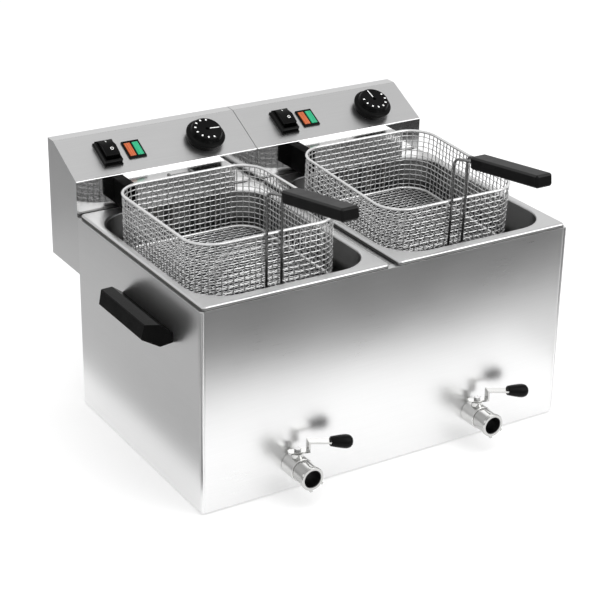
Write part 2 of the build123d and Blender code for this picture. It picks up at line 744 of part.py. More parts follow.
def head_lefts():
    """Left ends of the two heads."""
    return (-casing_width / 2, head_gap / 2)


# ---- baskets ---------------------------------------------------------------------------------
def basket_middle(x, height):
    return Pos(x, basket_front + basket_length / 2, height)


def grip_gap(x):
    """Gap from the handle wires to the grip on the basket at x."""
    return grip_gap_left if x < 0 else grip_gap_right


def grip_tilt(x):
    """Rise of the grip on the basket at x, in radians."""
    return radians(grip_tilt_left if x < 0 else grip_tilt_right)


def grip_point(x, along, across=0.0):
    """Point on a basket grip's axis, counted from the top of the handle wires."""
    tilt = grip_tilt(x)
    return (x + across, stalk_depth - along * cos(tilt), stalk_top + along * sin(tilt))


def basket_frame(x):
    """Welded frame: rim, ring round the floor, two handle wires and rear hook."""
    solids = [basket_middle(x, basket_rim) * piece for piece in wire_ring(0, rim_wire)]
    solids += [basket_middle(x, basket_floor) * piece for piece in wire_ring(ring_grow, frame_wire)]
    for side in (-1, 1):
        foot = x + side * stalk_spread / 2
        neck = side * stalk_neck / 2
        wire_end = grip_gap(x) + grip_socket - grip_socket_end
        ring_top = basket_floor + frame_wire + weld_gap
        route = ((foot, stalk_depth, ring_top), (foot, stalk_depth, stalk_top),
                 grip_point(x, grip_gap(x) - frame_wire, neck))
        top = bends(route, stalk_bend, stalk_bend_step)
        solids += bar([*top, grip_point(x, wire_end, neck)], frame_wire, wire_sides)
    return group(solids + rear_hook(x))


def rear_hook(x):
    """Wire staple from the rim, over the lip of the element hood and down behind it."""
    start = basket_back + rim_wire
    back = hood_front + hood_lip_wall + slip + frame_wire
    low = basket_rim - hood_lip
    left, right = x - hook_width / 2, x + hook_width / 2
    route = ((left, start, basket_rim), (left, back, basket_rim), (left, back, low),
             (right, back, low), (right, back, basket_rim), (right, start, basket_rim))
    return bar(route, frame_wire, wire_sides)


def pitch_steps(span):
    """Places of the wires across a span, evenly spaced about its middle."""
    count = int(span / 2 / mesh_pitch)
    return [step * mesh_pitch for step in range(-count, count + 1)]


def wire_ring(grow, radius):
    """Round wire about the basket's middle: straight runs, and corners bent in short flats."""
    quarter = []
    for step in range(rim_flats):
        angle = radians(90 * (step + 0.5) / rim_flats)
        reach = (basket_corner + grow) / cos(radians(45 / rim_flats))
        quarter.append((basket_width / 2 - basket_corner + reach * cos(angle),
                        basket_length / 2 - basket_corner + reach * sin(angle)))
    outline = quarter + [(-a, b) for a, b in reversed(quarter)]
    outline += [(-a, -b) for a, b in quarter] + [(a, -b) for a, b in reversed(quarter)]
    return bar([(a, b, 0) for a, b in outline], radius, wire_sides, closed=True)


def level_wires(x, height):
    """One level wire round the basket: four runs, and four corners of separate short flats."""
    grow = rim_wire - mesh_wire / 2
    half_width, half_length = basket_width / 2, basket_length / 2
    across = Rectangle(basket_width - 2 * basket_corner, mesh_wire)
    along = Rectangle(mesh_wire, basket_length - 2 * basket_corner)
    runs = [Pos(0, side * (half_length + grow)) * across for side in (-1, 1)]
    runs += [Pos(side * (half_width + grow), 0) * along for side in (-1, 1)]
    inner, outer = basket_corner + grow - mesh_wire / 2, basket_corner + grow + mesh_wire / 2
    for quarter in range(4):
        centre_x = (half_width - basket_corner) * (1 if quarter in (0, 3) else -1)
        centre_y = (half_length - basket_corner) * (1 if quarter in (0, 1) else -1)
        for flat in range(corner_flats):
            start, end = (radians(90 * (quarter + step / corner_flats)) for step in (flat, flat + 1))
            corners = [(outer, start), (outer, end), (inner, end), (inner, start)]
            points = [(centre_x + reach * cos(a), centre_y + reach * sin(a)) for reach, a in corners]
            runs.append(make_face(Polyline(*points, close=True)))
    return [basket_middle(x, height - mesh_wire / 2) * extrude(run, mesh_wire) for run in runs]


def upright_places():
    """Places and turns of the upright wires round the basket, inside the level wires."""
    inset = mesh_wire - rim_wire
    half_width, half_length = basket_width / 2 - inset, basket_length / 2 - inset
    half_width, half_length = half_width - mesh_wire / 2, half_length - mesh_wire / 2
    places = []
    for side in (-1, 1):
        places += [(step, side * half_length, 0) for step in pitch_steps(basket_width - 2 * basket_corner)]
        places += [(side * half_width, step, 0) for step in pitch_steps(basket_length - 2 * basket_corner)]
    radius = basket_corner - (basket_width / 2 - half_width) - corner_slack
    for quarter in range(4):
        for step in range(1, corner_flats + 1):
            angle = 90 * (quarter + (step - 0.5) / corner_flats)
            across = (basket_width / 2 - basket_corner) * (1 if quarter in (0, 3) else -1)
            along = (basket_length / 2 - basket_corner) * (1 if quarter in (0, 1) else -1)
            across += radius * cos(radians(angle))
            along += radius * sin(radians(angle))
            places.append((across, along, angle))
    return places


def basket_mesh(x):
    """Wire walls and floor: level wires outside, upright wires inside, floor wires in two layers."""
    solids = []
    rows = int(basket_height / mesh_pitch)
    for row in range(1, rows):
        solids += level_wires(x, basket_rim - row * basket_height / rows)
    length = basket_height - rim_wire - slip + mesh_wire / 2
    for across, along, angle in upright_places():
        upright = Pos(across, along) * Rot(0, 0, angle) * Rectangle(mesh_wire, mesh_wire)
        solids.append(basket_middle(x, basket_floor - mesh_wire / 2) * extrude(upright, length))
    return group(solids + floor_wires(x))


def floor_reach(half_span, half_other, place):
    """Half length of a floor wire that lies at a place beside the basket's middle."""
    inset = 3 * mesh_wire / 2 - (rim_wire - mesh_wire / 2) + slip
    past = abs(place) + mesh_wire / 2 - (half_other - basket_corner)
    if past <= 0:
        return half_span - inset
    radius = basket_corner - inset
    return half_span - basket_corner + (radius ** 2 - past ** 2) ** 0.5


def floor_wires(x):
    solids = []
    half_width, half_length = basket_width / 2, basket_length / 2
    for place in pitch_steps(basket_width - basket_corner):
        reach = floor_reach(half_length, half_width, place)
        wire = Pos(place, 0) * Rectangle(mesh_wire, 2 * reach)
        solids.append(basket_middle(x, basket_floor - mesh_wire / 2) * extrude(wire, mesh_wire))
    for place in pitch_steps(basket_length - basket_corner):
        reach = floor_reach(half_width, half_length, place)
        wire = Pos(0, place) * Rectangle(2 * reach, mesh_wire)
        solids.append(basket_middle(x, basket_floor + mesh_wire / 2) * extrude(wire, mesh_wire))
    return solids


def basket_grip(x):
    """Moulded grip, held by the two wires."""
    grip = Box(grip_length, grip_width, grip_height, align=(Align.MIN, Align.CENTER, Align.CENTER))
    grip = chamfer(grip.edges().filter_by(Axis.X), grip_bevel)
    grip = chamfer(grip.faces().sort_by(Axis.X)[-1].edges(), grip_bevel)
    for side in (-1, 1):
        mouth = Plane(origin=(0, side * stalk_neck / 2, 0), x_dir=(0, 1, 0), z_dir=(1, 0, 0))
        grip -= extrude(mouth * RegularPolygon(frame_wire + shaft_fit, wire_sides), grip_socket)
    tilt = grip_tilt(x)
    place = Plane(origin=grip_point(x, grip_gap(x)), x_dir=(0, -cos(tilt), sin(tilt)),
                  z_dir=(0, sin(tilt), cos(tilt)))
    return place * grip


# ---- all nodes -------------------------------------------------------------------------------
def nodes():
    """Every sub-part by name."""
    parts = {
        "casing_wrap": casing_wrap(),
        "casing_back": casing_back(),
        "casing_base": casing_base(),
        "rubber_feet": rubber_feet(),
        "centre_rail": centre_rail(),
        "terminal_blocks": group(terminal_block(left) for left in head_lefts()),
        "cable_glands": group(cable_gland(left) for left in head_lefts()),
    }
    for side, sign, left in (("left", -1, head_lefts()[0]), ("right", 1, head_lefts()[1])):
        x = sign * tank_offset
        parts[f"side_handle_{side}"] = side_handle(sign)
        for name, build in unit_pieces.items():
            parts[f"{name}_{side}"] = build(x)
        for name, build in head_pieces.items():
            parts[f"{name}_{side}"] = build(left)
        parts[f"lamp_lens_orange_{side}"] = lamp_lens(left, -1)
        parts[f"lamp_lens_green_{side}"] = lamp_lens(left, 1)
    return parts


unit_pieces = {
    "tank": tank,
    "drain_pipe": drain_pipe,
    "valve_body": valve_body,
    "valve_plug": valve_plug,
    "drain_lever": drain_lever,
    "lever_screw": lever_screw,
    "lever_grip": lever_grip,
    "outlet_nozzle": outlet_nozzle,
    "basket_frame": basket_frame,
    "basket_mesh": basket_mesh,
    "basket_grip": basket_grip,
}
head_pieces = {
    "head_shell": head_shell,
    "head_bottom_cover": head_bottom_cover,
    "switch_bezel": switch_bezel,
    "rocker": rocker,
    "lamp_bezel": lamp_bezel,
    "knob_base": knob_base,
    "knob": knob,
    "dial_shaft": dial_shaft,
    "thermostat": thermostat,
    "element_block": element_block,
    "element_hood": element_hood,
    "heating_element": heating_element,
}


def export_nodes():
    os.makedirs("parts", exist_ok=True)
    for name, shape in nodes().items():
        export_step(Pos(0, -origin_depth, 0) * shape, f"parts/{name}.step")


if __name__ == "__main__":
    export_nodes()
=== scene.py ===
"""Looks of a twin-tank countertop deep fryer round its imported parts. Metres, +Z up, front towards -Y."""
import bpy
import bmesh
import json
from math import atan2, cos, pi, radians, sin, tan
from mathutils import Matrix, Vector


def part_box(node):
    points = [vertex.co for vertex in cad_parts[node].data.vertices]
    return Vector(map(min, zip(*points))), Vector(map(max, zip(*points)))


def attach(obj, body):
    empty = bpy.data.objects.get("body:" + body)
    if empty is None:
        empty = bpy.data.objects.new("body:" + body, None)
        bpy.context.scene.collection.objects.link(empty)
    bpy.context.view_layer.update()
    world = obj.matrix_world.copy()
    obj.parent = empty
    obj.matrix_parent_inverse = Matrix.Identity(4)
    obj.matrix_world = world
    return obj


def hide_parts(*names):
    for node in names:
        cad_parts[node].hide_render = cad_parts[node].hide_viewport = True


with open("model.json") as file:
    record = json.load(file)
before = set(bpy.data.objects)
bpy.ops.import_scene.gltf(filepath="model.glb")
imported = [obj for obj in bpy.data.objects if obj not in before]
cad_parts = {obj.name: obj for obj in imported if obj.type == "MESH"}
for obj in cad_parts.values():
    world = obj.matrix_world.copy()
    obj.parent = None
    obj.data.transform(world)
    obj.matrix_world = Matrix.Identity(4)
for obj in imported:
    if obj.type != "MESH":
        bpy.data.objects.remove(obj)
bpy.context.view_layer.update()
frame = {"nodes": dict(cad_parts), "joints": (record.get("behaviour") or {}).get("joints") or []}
MM = 0.001
MERGE = 0.005 * MM              # points nearer than this are one
SIDES = ("left", "right")
joints = {joint["name"]: joint for joint in frame["joints"]}


# ---- finishes --------------------------------------------------------------------------------
class Value:
    """A socket of a finish. Sums and products of it add Math nodes."""

    def __init__(self, finish, socket):
        self.finish, self.socket = finish, socket

    def __add__(self, other):
        return self.finish.node("ShaderNodeMath", {"operation": "ADD"}, {0: self, 1: other})

    def __mul__(self, other):
        return self.finish.node("ShaderNodeMath", {"operation": "MULTIPLY"}, {0: self, 1: other})

    def spread(self, start=0.0, end=1.0, low=0.3, high=0.7):
        """Maps the span that noise mostly keeps to, low..high, to start..end and clamps."""
        limits = {"Value": self, "From Min": low, "From Max": high, "To Min": start, "To Max": end}
        return self.finish.node("ShaderNodeMapRange", {"clamp": True}, limits)


class Finish:
    """A procedural material on Object coordinates."""

    def __init__(self, name, **constants):
        self.material = bpy.data.materials.new(name)
        self.material.use_nodes = True
        self.nodes = self.material.node_tree.nodes
        self.links = self.material.node_tree.links
        self.shader = self.nodes["Principled BSDF"]
        self.place = self.node("ShaderNodeTexCoord", {}, {}, "Object")
        for socket, value in constants.items():
            self.shader.inputs[socket.replace("_", " ")].default_value = value

    def node(self, kind, settings, inputs, output=0):
        """Adds a node: its type, its settings, the values or links of its sockets, and its output."""
        made = self.nodes.new(kind)
        for name, value in settings.items():
            setattr(made, name, value)
        for name, value in inputs.items():
            if isinstance(value, Value):
                self.links.new(value.socket, made.inputs[name])
            else:
                made.inputs[name].default_value = value
        return Value(self, made.outputs[output])

    def stretched(self, scale, detail=2.0, roughness=0.5):
        """Noise from 0 to 1, stretched by a scale for each axis."""
        place = self.node("ShaderNodeMapping", {}, {"Vector": self.place, "Scale": scale})
        inputs = {"Vector": place, "Scale": 1.0, "Detail": detail, "Roughness": roughness}
        return self.node("ShaderNodeTexNoise", {}, inputs)

    def mixed(self, factor, first, second):
        """Colour between two colours."""
        inputs = {"Factor": factor, 6: (*first, 1.0), 7: (*second, 1.0)}
        return self.node("ShaderNodeMix", {"data_type": "RGBA"}, inputs, 2)

    def paint(self, **links):
        """Links values into the shader's sockets."""
        for socket, value in links.items():
            self.links.new(value.socket, self.shader.inputs[socket.replace("_", " ")])
        return self.material

    def bump(self, height, distance, strength):
        """Normal that a height of the given relief gives."""
        inputs = {"Height": height, "Distance": distance, "Strength": strength}
        return self.node("ShaderNodeBump", {}, inputs, "Normal")


def brushed_steel(name, shade, grain, rough, relief):
    """Stainless sheet with fine lines along the axes where the grain's scale is small."""
    finish = Finish(name, Metallic=1.0)
    lines = finish.stretched(grain, 3.0, 0.65)
    cloud = finish.stretched((5.0, 5.0, 5.0), 2.0)
    tone = (lines * 0.8 + cloud * 0.2).spread()
    colour = finish.mixed(tone, [shade * 0.975] * 3, [shade * 1.02] * 3)
    roughness = lines.spread(rough - 0.015, rough + 0.015) + cloud.spread(-0.02, 0.02)
    return finish.paint(Base_Color=colour, Roughness=roughness, Normal=finish.bump(lines, relief, 0.4))


def bright_steel(name, tone, rough, wave=0.0002, metallic=1.0):
    """Polished steel with the slight unevenness of drawn or turned metal."""
    finish = Finish(name, Metallic=metallic)
    ripple = finish.stretched((9.0, 9.0, 9.0), 1.0)
    smear = finish.stretched((60.0, 60.0, 60.0), 3.0)
    colour = finish.mixed(smear.spread(), [t * 0.97 for t in tone], tone)
    roughness = smear.spread(rough, rough + 0.03)
    return finish.paint(Base_Color=colour, Roughness=roughness, Normal=finish.bump(ripple, wave, 0.3))


def black_plastic(name, shade, rough, shine=0.22):
    """Moulded plastic with a fine spark-eroded texture."""
    finish = Finish(name, Specular_IOR_Level=shine)
    skin = finish.stretched((1400.0,) * 3, 2.0)
    cloud = finish.stretched((35.0,) * 3, 2.0)
    colour = finish.mixed(cloud.spread(), [shade * 0.8] * 3, [shade * 1.25] * 3)
    roughness = cloud.spread(rough - 0.04, rough + 0.05)
    return finish.paint(Base_Color=colour, Roughness=roughness, Normal=finish.bump(skin, 0.00004, 0.5))


def lens_plastic(name, deep, light):
    """Tinted lamp lens with fine ribs behind a clear face."""
    finish = Finish(name, IOR=1.49, Coat_Weight=0.6, Coat_Roughness=0.08, Emission_Strength=0.18)
    ribs = finish.stretched((900.0, 40.0, 40.0), 1.0)
    colour = finish.mixed(ribs.spread(low=0.35, high=0.65), deep, light)
    return finish.paint(Base_Color=colour, Emission_Color=colour, Roughness=ribs.spread(0.22, 0.34))


def white_ink():
    """Printed ink, slightly worn."""
    finish = Finish("white_ink")
    wear = finish.stretched((600.0,) * 3, 2.0)
    colour = finish.mixed(wear.spread(), (0.78, 0.78, 0.77), (0.9, 0.9, 0.89))
    return finish.paint(Base_Color=colour, Roughness=wear.spread(0.4, 0.55))


finishes = {
    "casing_steel": brushed_steel("casing_steel", 0.86, (14.0, 14.0, 1300.0), 0.3, 0.000002),
    "head_steel": brushed_steel("head_steel", 0.83, (14.0, 500.0, 1100.0), 0.32, 0.000006),
    "mirror_steel": bright_steel("mirror_steel", (0.6, 0.6, 0.6), 0.06, 0.0003),
    "rim_steel": brushed_steel("rim_steel", 0.8, (30.0, 30.0, 30.0), 0.3, 0.0),
    # painted shade: a dark copy of the tank's steel for its inside walls, floor and front and back skirts,
    # and for the drain pipes
    "tank_steel": bright_steel("tank_steel", (0.3, 0.3, 0.3), 0.28),
    "hood_steel": bright_steel("hood_steel", (0.86, 0.86, 0.86), 0.12),
    # painted highlight: a brighter, glossier copy of the head's steel for the rod along the slope's lower
    # fold
    "fold_painted_highlight_steel": bright_steel("fold_painted_highlight_steel", (0.92, 0.92, 0.92), 0.16),
    "nozzle_steel": bright_steel("nozzle_steel", (0.56, 0.56, 0.55), 0.09),
    "valve_metal": bright_steel("valve_metal", (0.7, 0.7, 0.69), 0.12),
    "shaft_steel": bright_steel("shaft_steel", (0.55, 0.55, 0.55), 0.25),
    # painted shade: nearly black steel for the lower band of the tank's side skirts, the outlet's bore and
    # the valve plug
    "painted_shade_steel": bright_steel("painted_shade_steel", (0.1, 0.1, 0.1), 0.35),
    "element_steel": bright_steel("element_steel", (0.3, 0.29, 0.28), 0.3),
    "handle_wire": bright_steel("handle_wire", (0.3, 0.3, 0.3), 0.25),
    "rim_wire": bright_steel("rim_wire", (0.86, 0.86, 0.86), 0.2, 0.0002, 0.75),
    "wire_chrome": bright_steel("wire_chrome", (0.68, 0.68, 0.68), 0.22, 0.0002, 0.7),
    "black_plastic": black_plastic("black_plastic", 0.004, 0.22, 0.07),
    "grip_plastic": black_plastic("grip_plastic", 0.006, 0.36, 0.08),
    # painted sheen: a lighter, shinier copy of the grip plastic for the grips' upward faces
    "grip_top_painted_sheen": black_plastic("grip_top_painted_sheen", 0.014, 0.4, 0.2),
    "block_resin": black_plastic("block_resin", 0.002, 0.5, 0.03),
    "phenolic": black_plastic("phenolic", 0.07, 0.5),
    "rubber": black_plastic("rubber", 0.025, 0.7),
    "lens_orange": lens_plastic("lens_orange", (0.36, 0.06, 0.01), (0.46, 0.1, 0.018)),
    "lens_green": lens_plastic("lens_green", (0.0, 0.26, 0.12), (0.005, 0.36, 0.17)),
    "white_ink": white_ink(),
}


# ---- making pieces ---------------------------------------------------------------------------
def piece(name, mesh_or_bm, finish, body, replaced=(), crease=30.0):
    """Object at the origin from a mesh, smooth-shaded with its sharp edges kept, riding on a body."""
    if isinstance(mesh_or_bm, bmesh.types.BMesh):
        mesh = bpy.data.meshes.new(name)
        mesh_or_bm.to_mesh(mesh)
        mesh_or_bm.free()
    else:
        mesh = mesh_or_bm
    mesh.name = name
    mesh.materials.clear()
    mesh.materials.append(finishes[finish])
    mesh.polygons.foreach_set("use_smooth", [True] * len(mesh.polygons))
    mesh.set_sharp_from_angle(angle=radians(crease))
    made = bpy.data.objects.new(name, mesh)
    bpy.context.scene.collection.objects.link(made)
    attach(made, body)
    if replaced:
        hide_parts(*replaced)
    return made


def eased(made, width, segments=2, angle=30.0):
    """Rounds a piece's edges and keeps its flats flat."""
    bevel = made.modifiers.new("edges", "BEVEL")
    bevel.width, bevel.segments = width, segments
    bevel.limit_method, bevel.angle_limit = "ANGLE", radians(angle)
    made.data.polygons.foreach_set("use_smooth", [True] * len(made.data.polygons))
    made.data.set_sharp_from_angle(angle=pi)
    made.modifiers.new("flats", "WEIGHTED_NORMAL").weight = 80
    return made


def merged_copy(node):
    """Copy of a CAD node's mesh, with its loose triangles joined and its flats made whole."""
    bm = bmesh.new()
    bm.from_mesh(frame["nodes"][node].data)
    bmesh.ops.remove_doubles(bm, verts=bm.verts, dist=2 * MERGE)
    bmesh.ops.dissolve_limit(bm, angle_limit=radians(0.5), verts=bm.verts, edges=bm.edges)
    return bm


def softened(node, finish, body, width, segments=2):
    """A CAD node's shape with its edges eased."""
    return eased(piece(f"{node}_shape", merged_copy(node), finish, body, (node,)), width, segments)


def second_finish(made, finish, wanted):
    """Gives some faces of a piece another finish."""
    made.data.materials.append(finishes[finish])
    for face in made.data.polygons:
        if wanted(face):
            face.material_index = len(made.data.materials) - 1


def spun(profile, steps):
    """Surface turned about Z from a profile of (radius, height) in millimetres."""
    bm = bmesh.new()
    points = [bm.verts.new((radius * MM, 0, height * MM)) for radius, height in profile]
    edges = [bm.edges.new(pair) for pair in zip(points, points[1:])]
    bmesh.ops.spin(bm, geom=points + edges, axis=(0, 0, 1), cent=(0, 0, 0), angle=2 * pi, steps=steps,
                   use_merge=True)
    bmesh.ops.remove_doubles(bm, verts=bm.verts, dist=MERGE)
    return bm


def turned(name, profile, finish, body, place, replaced, width=0.0, extra=None):
    """Piece turned from a profile, with any extra forms beside it, then put in its place."""
    bm = spun(profile, 64)
    if extra:
        extra(bm)
    bmesh.ops.recalc_face_normals(bm, faces=bm.faces)
    bmesh.ops.transform(bm, matrix=place, verts=bm.verts)
    made = piece(name, bm, finish, body, replaced, 25.0)
    return eased(made, width, 2, 20.0) if width else made


def arc(before, corner, after, radius, steps):
    """Points that turn a corner on a radius."""
    back, ahead = (before - corner).normalized(), (after - corner).normalized()
    half = back.angle(ahead) / 2
    if half > radians(89):
        return [corner]
    reach = min(radius / tan(half), (before - corner).length * 0.49, (after - corner).length * 0.49)
    radius = reach * tan(half)
    centre = corner + (back + ahead).normalized() * (radius / sin(half))
    start, end = corner + back * reach - centre, corner + ahead * reach - centre
    turn = start.angle(end)
    found = []
    for step in range(steps + 1):
        share = step / steps
        found.append(centre + (start * sin((1 - share) * turn) + end * sin(share * turn)) / sin(turn))
    return found


def bent(points, radius, steps=5):
    """A wire's route with its corners turned on a radius."""
    points = [Vector(point) for point in points]
    route = [points[0]]
    for before, corner, after in zip(points, points[1:], points[2:]):
        route += arc(before, corner, after, radius, steps)
    return route + [points[-1]]


def wires(name, routes, finish, body, replaced=(), sides=1):
    """One piece of round wires, each given by its points, its radius and whether it closes."""
    curve = bpy.data.curves.new(name, "CURVE")
    curve.dimensions, curve.bevel_depth, curve.bevel_resolution = "3D", 1.0, sides
    curve.use_fill_caps = True
    for points, radius, closed in routes:
        line = curve.splines.new("POLY")
        line.points.add(len(points) - 1)
        line.use_cyclic_u = closed
        for point, at in zip(line.points, points):
            point.co, point.radius = (*at, 1.0), radius
    holder = bpy.data.objects.new(name, curve)
    mesh = bpy.data.meshes.new_from_object(holder)
    bpy.data.objects.remove(holder)
    bpy.data.curves.remove(curve)
    return piece(name, mesh, finish, body, replaced, 50.0)


def outline(bm, width, length, corner, middle, height):
    """Closed loop of edges: a rectangle with turned corners."""
    verts = bmesh.ops.create_grid(bm, x_segments=1, y_segments=1, size=0.5)["verts"]
    size = Matrix.Translation((middle[0], middle[1], height)) @ Matrix.Diagonal((width, length, 1, 1))
    bmesh.ops.transform(bm, matrix=size, verts=verts)
    turned_verts = bmesh.ops.bevel(bm, geom=verts, affect="VERTICES", offset=corner, segments=8,
                                   profile=0.5, material=-1)["verts"]
    loop = list({edge for vert in turned_verts for edge in vert.link_edges})
    flats = list({face for vert in turned_verts for face in vert.link_faces})
    bmesh.ops.delete(bm, geom=flats, context="FACES_ONLY")
    return loop


def stacked(loops):
    """Skin over a stack of outlines, each (width, length, corner, middle, height), open at both ends."""
    bm = bmesh.new()
    rings = [outline(bm, *loop) for loop in loops]
    for lower, upper in zip(rings, rings[1:]):
        bmesh.ops.bridge_loops(bm, edges=lower + upper)
    bmesh.ops.remove_doubles(bm, verts=bm.verts, dist=0.002 * MM)
    bmesh.ops.recalc_face_normals(bm, faces=bm.faces)
    return bm


def block(bm, place, size):
    """Adds a box of a size in millimetres to a mesh, at a place."""
    verts = bmesh.ops.create_cube(bm, size=1.0)["verts"]
    bmesh.ops.transform(bm, matrix=place @ Matrix.Diagonal((*(edge * MM for edge in size), 1)), verts=verts)


def moved(x, y, z):
    """Shift in millimetres."""
    return Matrix.Translation((x * MM, y * MM, z * MM))


def rotated(degrees, axis):
    return Matrix.Rotation(radians(degrees), 4, axis)


# ---- places ----------------------------------------------------------------------------------
casing_low, casing_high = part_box("casing_wrap")
casing_front = casing_low.y
casing_top = casing_high.z
slope_rise, slope_run = 43 * MM, 84 * MM


def head_place(side):
    """Frame of a head's slope: X along the head, Y up the slope, Z outwards."""
    low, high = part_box(f"head_shell_{side}")
    up = Vector((0, slope_run, slope_rise)).normalized()
    out = Vector((0, -slope_rise, slope_run)).normalized()
    axes = Matrix((Vector((1, 0, 0)), up, out)).transposed().to_4x4()
    return Matrix.Translation((low.x, low.y, high.z - slope_rise)) @ axes


def joint_place(name, out):
    """Frame at a joint's point, with Z along a direction and X to the right."""
    out = Vector(out).normalized()
    up = out.cross(Vector((1, 0, 0)))
    axes = Matrix((Vector((1, 0, 0)), up, out)).transposed().to_4x4()
    return Matrix.Translation(joints[name]["pos_m"]) @ axes


# ---- casing ----------------------------------------------------------------------------------
softened("casing_wrap", "casing_steel", "fryer", 0.5 * MM)
bend, inset, margin = 3.2 * MM, 2.9 * MM, 1 * MM
bends = [[(x, casing_front + inset, z) for z in (casing_low.z + margin, casing_top - margin)]
         for x in (casing_low.x + inset, casing_high.x - inset)]
wires("casing_bends", [(route, bend, False) for route in bends], "casing_steel", "fryer", sides=6)
softened("casing_back", "casing_steel", "fryer", 0.4 * MM)
softened("casing_base", "casing_steel", "fryer", 0.4 * MM)
softened("centre_rail", "shaft_steel", "fryer", 0.4 * MM)
softened("terminal_blocks", "phenolic", "fryer", 1.0 * MM)
softened("rubber_feet", "rubber", "fryer", 1.2 * MM)
softened("cable_glands", "black_plastic", "fryer", 0.8 * MM)
for side in SIDES:
    softened(f"side_handle_{side}", "black_plastic", "fryer", 1.6 * MM, 3)
    # The drain pipes take the tank's dark painted-shade steel.
    softened(f"drain_pipe_{side}", "tank_steel", "fryer", 0.3 * MM)


# ---- tanks -----------------------------------------------------------------------------------
def drawn_tank(side):
    """Pressed tank: rolled rim, flange, radius into the mouth, walls and rounded floor."""
    low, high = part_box(f"tank_{side}")
    sheet = 1.0 * MM
    rim = (high.x - low.x, high.y - low.y)
    rim_middle = ((low.x + high.x) / 2, (low.y + high.y) / 2)
    side_flange, front_flange, back_flange = 12.5 * MM, 19 * MM, 22 * MM
    mouth = (rim[0] - 2 * side_flange, rim[1] - front_flange - back_flange)
    mouth_middle = (rim_middle[0], low.y + front_flange + mouth[1] / 2)
    rim_corner, mouth_corner, sump_corner = 6 * MM, 60 * MM, 3 * MM
    skirt, roll, lead, sweep = 6.6 * MM, 3.0 * MM, 3.5 * MM, 12 * MM
    flange_fall = 0.2 * MM
    floor = low.z + sheet
    quarter = [radians(90 * step / 4) for step in range(5)]

    loops = [(*rim, rim_corner, rim_middle, high.z - skirt)]
    for turn in quarter:
        inset = roll * (1 - cos(turn))
        loops.append((rim[0] - 2 * inset, rim[1] - 2 * inset, rim_corner - inset / 2, rim_middle,
                      high.z - roll * (1 - sin(turn))))
    for turn in quarter:
        grow = lead * (1 - sin(turn))
        loops.append((mouth[0] + 2 * grow, mouth[1] + 2 * grow, mouth_corner + grow, mouth_middle,
                      high.z - flange_fall - lead * (1 - cos(turn))))
    for turn in quarter:
        inset = sweep * (1 - cos(turn))
        loops.append((mouth[0] - 2 * inset, mouth[1] - 2 * inset, mouth_corner - inset, mouth_middle,
                      floor + sweep * (1 - sin(turn))))
    sump, sump_middle = (44 * MM, 44 * MM), (rim_middle[0] - 8 * MM, casing_front + 78 * MM)
    loops += [(*sump, sump_corner, sump_middle, floor - drop) for drop in (flange_fall, sheet)]

    # Painted shade: the whole shell takes the dark steel, and only the rim and flange get the lighter rim
    # steel.
    made = piece(f"tank_{side}_shell", stacked(loops), "tank_steel", "fryer", (f"tank_{side}",), 40.0)
    rim_edge, skirt_edge = high.z - 3.6 * MM, high.z - 6 * MM
    ends = rim[0] / 2 - 0.5 * MM
    second_finish(made, "rim_steel", lambda face: face.center.z > rim_edge)
    # Painted shade: the lower band of the side skirts, under the rim, is nearly black steel.
    second_finish(made, "painted_shade_steel", lambda face: skirt_edge < face.center.z < rim_edge
                  and abs(face.center.x - rim_middle[0]) > ends)
    floor_middle = Vector((*mouth_middle, floor))
    lowest = min(made.data.polygons, key=lambda face: (face.center - floor_middle).length)
    if lowest.normal.z < 0:
        made.data.flip_normals()
    wall = made.modifiers.new("sheet", "SOLIDIFY")
    wall.thickness, wall.offset = sheet, -1.0


for side in SIDES:
    drawn_tank(side)
    softened(f"element_hood_{side}", "hood_steel", "fryer", 0.45 * MM)
    softened(f"element_block_{side}", "block_resin", "fryer", 0.8 * MM)


# ---- heating elements ------------------------------------------------------------------------
def heating_element(side):
    """Two tubular loops that come out of the head, drop behind the basket and run along the floor."""
    low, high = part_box(f"heating_element_{side}")
    tube = 4 * MM
    drop_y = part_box(f"element_hood_{side}")[0].y + 6.5 * MM
    level, entry = low.z + tube, high.z - tube
    middle = (low.x + high.x) / 2
    routes = []
    for first, second in ((-56, -24), (24, 56)):
        leg = [(high.y, entry), (drop_y, entry), (drop_y, level), (low.y + tube, level)]
        route = [(middle + first * MM, y, z) for y, z in leg]
        route += [(middle + second * MM, y, z) for y, z in reversed(leg)]
        routes.append((bent(route, 12 * MM, 6), tube, False))
    wires(f"elements_{side}", routes, "element_steel", "fryer", (f"heating_element_{side}",), 4)


for side in SIDES:
    heating_element(side)


# ---- control heads ---------------------------------------------------------------------------
def head_sheet(side):
    """Bent sheet of a control head, polished in front, with the rounds of its two long folds."""
    node = f"head_shell_{side}"
    shell = piece(f"{node}_shape", merged_copy(node), "head_steel", "fryer", (node,), 20.0)
    second_finish(shell, "mirror_steel", lambda face: face.normal.y < -0.99)
    low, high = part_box(node)
    fold, half_turn = 1.8 * MM, radians(31.5)
    ends = (low.x + 0.5 * MM, high.x - 0.5 * MM)
    front_fold = (low.y + fold - 0.3 * MM, high.z - slope_rise - fold * tan(half_turn) + 0.25 * MM)
    top_fold = (low.y + slope_run + 0.5 * MM, high.z - 1.75 * MM)
    # The lower fold's rod catches real highlights on its round and is also painted brighter than the sheet;
    # the top fold's rod is painted darker than the sheet, a painted shade line along that fold.
    for name, at, finish in (("head_fold", front_fold, "fold_painted_highlight_steel"),
                             ("head_top_fold", top_fold, "nozzle_steel")):
        wires(f"{name}_{side}", [([(x, *at) for x in ends], fold, False)], finish, "fryer", sides=4)


